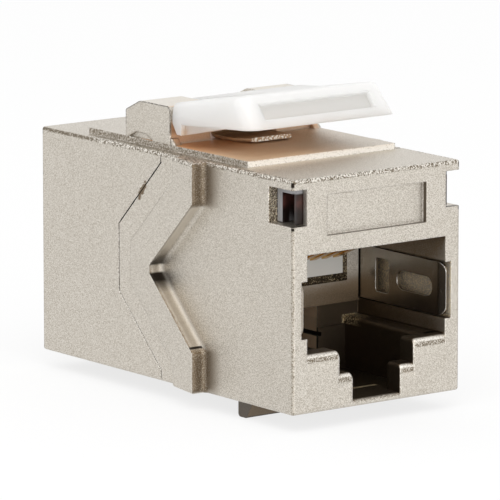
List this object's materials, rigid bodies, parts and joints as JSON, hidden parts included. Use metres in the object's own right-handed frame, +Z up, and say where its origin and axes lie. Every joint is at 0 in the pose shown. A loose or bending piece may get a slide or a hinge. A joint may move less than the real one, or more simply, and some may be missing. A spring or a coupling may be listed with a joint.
{
  "type": "keystone coupler",
  "caption": "Shielded inline keystone coupler: two die-cast shells with a chevron joint, a sprung latch lever and an eight-way modular socket at each end.",
  "frame": {"origin": "centre of the box's footprint, at the underside of the panel hook", "axes": "+Z up towards the latch lever, -Y out of the front port, +X to the right seen from the front"},
  "size_m": [0.0166, 0.029, 0.022],
  "materials": {
    "die_cast": "sand-blasted, satin nickel plate over die-cast zinc alloy",
    "lever_plastic": "white moulded plastic",
    "spring_steel": "bright stainless spring strip",
    "carrier_plastic": "white moulded plastic",
    "contact_gold": "gold-plated spring bronze",
    "insert_plastic": "smoke-grey moulded plastic",
    "board": "black laminate"
  },
  "bodies": {
    "housing": {"circuit_board": "board", "front_contact_1": "contact_gold", "front_contact_2": "contact_gold", "front_contact_3": "contact_gold", "front_contact_4": "contact_gold", "front_contact_5": "contact_gold", "front_contact_6": "contact_gold", "front_contact_7": "contact_gold", "front_contact_8": "contact_gold", "front_contact_carrier": "carrier_plastic", "front_shell": "die_cast", "front_shield_spring_left": "spring_steel", "front_shield_spring_right": "spring_steel", "latch_spring": "spring_steel", "left_corner_insert": "insert_plastic", "rear_contact_1": "contact_gold", "rear_contact_2": "contact_gold", "rear_contact_3": "contact_gold", "rear_contact_4": "contact_gold", "rear_contact_5": "contact_gold", "rear_contact_6": "contact_gold", "rear_contact_7": "contact_gold", "rear_contact_8": "contact_gold", "rear_contact_carrier": "carrier_plastic", "rear_shell": "die_cast", "rear_shield_spring_left": "spring_steel", "rear_shield_spring_right": "spring_steel", "right_corner_insert": "insert_plastic"},
    "latch": {"latch_lever": "lever_plastic"}
  },
  "joints": [
    {"name": "latch_pivot", "type": "hinge", "parent": "housing", "child": "latch", "pos_m": [0, 0.00295, 0.01917], "axis": [1, 0, 0], "range_deg": [0, 8], "stiffness_Nm_per_rad": 0.2, "deforming": ["latch_spring"]}
  ]
}
